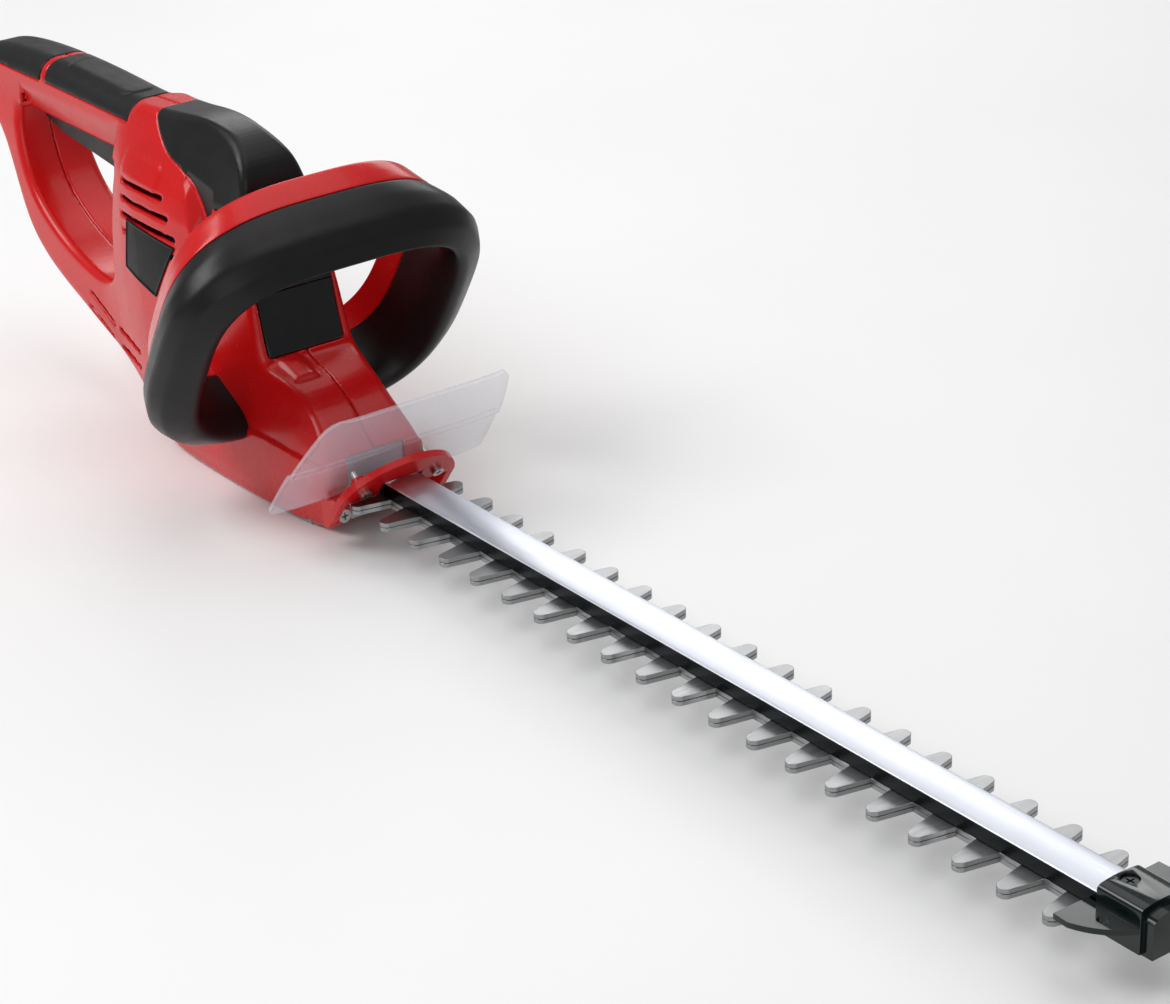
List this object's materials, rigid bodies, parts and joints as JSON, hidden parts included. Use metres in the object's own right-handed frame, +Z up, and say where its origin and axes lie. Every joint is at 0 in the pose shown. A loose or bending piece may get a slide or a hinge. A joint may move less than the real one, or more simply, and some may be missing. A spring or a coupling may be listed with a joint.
{
  "type": "hedge trimmer",
  "caption": "Electric hedge trimmer with a double-action toothed blade, a leaning front loop handle, a rear loop handle with trigger and a clear hand guard.",
  "frame": {"origin": "middle of the flat underside of the base plate, under the driven gear's axis, on the surface the trimmer stands on", "axes": "+X towards the blade tip, +Y across to the far side, +Z up out of the base"},
  "size_m": [0.944, 0.192, 0.1911],
  "materials": {
    "red_plastic": "satin gloss",
    "soft_black": "satin",
    "black_plastic": "satin",
    "gloss_black": "gloss",
    "clear_plastic": "clear",
    "cast_alloy": "as cast",
    "base_steel": "satin",
    "screw_steel": "satin",
    "motor_steel": "satin",
    "magnet": "matte",
    "core_steel": "matte",
    "winding_copper": "satin",
    "brass_metal": "satin",
    "carbon": "matte",
    "gear_steel": "satin",
    "blade_steel": "satin",
    "cover_aluminium": "brushed",
    "capacitor_skin": "gloss"
  },
  "bodies": {
    "machine": {"housing_left": "red_plastic", "housing_right": "red_plastic", "rear_handle_left": "red_plastic", "rear_handle_right": "red_plastic", "rear_strut_left": "red_plastic", "rear_strut_right": "red_plastic", "rear_grip_cap": "soft_black", "rear_grip_pad": "soft_black", "top_cover": "black_plastic", "front_panel": "gloss_black", "label_plate": "gloss_black", "handle_ring": "red_plastic", "front_grip": "soft_black", "switch_springs": "screw_steel", "trigger_pin": "screw_steel", "trigger_spring": "screw_steel", "hand_guard": "clear_plastic", "guard_bracket": "red_plastic", "guard_screws": "screw_steel", "bracket_screws": "screw_steel", "housing_screws": "screw_steel", "handle_screws": "screw_steel", "gear_case": "cast_alloy", "base_plate": "base_steel", "plate_screws": "screw_steel", "shaft_bushes": "brass_metal", "motor_can": "motor_steel", "motor_magnets": "magnet", "motor_end_plate": "black_plastic", "motor_end_frame": "black_plastic", "upper_bearing": "screw_steel", "lower_bearing": "screw_steel", "brushes": "carbon", "brush_clips": "brass_metal", "blade_bar": "base_steel", "blade_cover": "cover_aluminium", "blade_bolts": "screw_steel", "blade_bushes": "screw_steel", "blade_washers": "screw_steel", "lock_nuts": "screw_steel", "bar_bolts": "screw_steel", "tip_guard": "gloss_black", "tip_screw": "screw_steel", "main_switch": "black_plastic", "front_switch": "black_plastic", "capacitor": "capacitor_skin", "cable_gland": "black_plastic"},
    "armature": {"armature_core": "core_steel", "armature_windings": "winding_copper", "commutator": "winding_copper", "motor_shaft": "screw_steel", "fan": "black_plastic", "pinion": "gear_steel"},
    "gear": {"drive_gear": "gear_steel", "eccentric_shaft": "gear_steel"},
    "upper_blade": {"upper_blade": "blade_steel"},
    "lower_blade": {"lower_blade": "blade_steel"},
    "trigger": {"rear_trigger": "black_plastic"},
    "safety_bar": {"front_switch_bar": "black_plastic"}
  },
  "joints": [
    {"name": "motor_spin", "type": "hinge", "parent": "machine", "child": "armature", "pos_m": [-0.03, 0, 0.09], "axis": [0, 0, 1], "continuous": true},
    {"name": "gear_spin", "type": "hinge", "parent": "machine", "child": "gear", "pos_m": [0, 0, 0.035], "axis": [0, 0, 1], "continuous": true},
    {"name": "upper_slide", "type": "slide", "parent": "machine", "child": "upper_blade", "axis": [1, 0, 0], "range_m": [-0.0065, 0.0065]},
    {"name": "lower_slide", "type": "slide", "parent": "machine", "child": "lower_blade", "axis": [1, 0, 0], "range_m": [-0.0065, 0.0065]},
    {"name": "trigger_press", "type": "hinge", "parent": "machine", "child": "trigger", "pos_m": [-0.228, 0, 0.1685], "axis": [0, -1, 0], "range_deg": [0, 3], "stiffness_Nm_per_rad": 1.5, "springref_deg": -6.88, "deforming": ["trigger_spring"]},
    {"name": "bar_press", "type": "slide", "parent": "machine", "child": "safety_bar", "axis": [0.515, 0, 0.8572], "range_m": [0, 0.0035], "stiffness_N_per_m": 900, "springref_m": -0.003}
  ],
  "couplings": [
    {"joint": "gear_spin", "follows": "motor_spin", "ratio": -0.26316},
    {"joint": "lower_slide", "follows": "upper_slide", "ratio": -1}
  ]
}
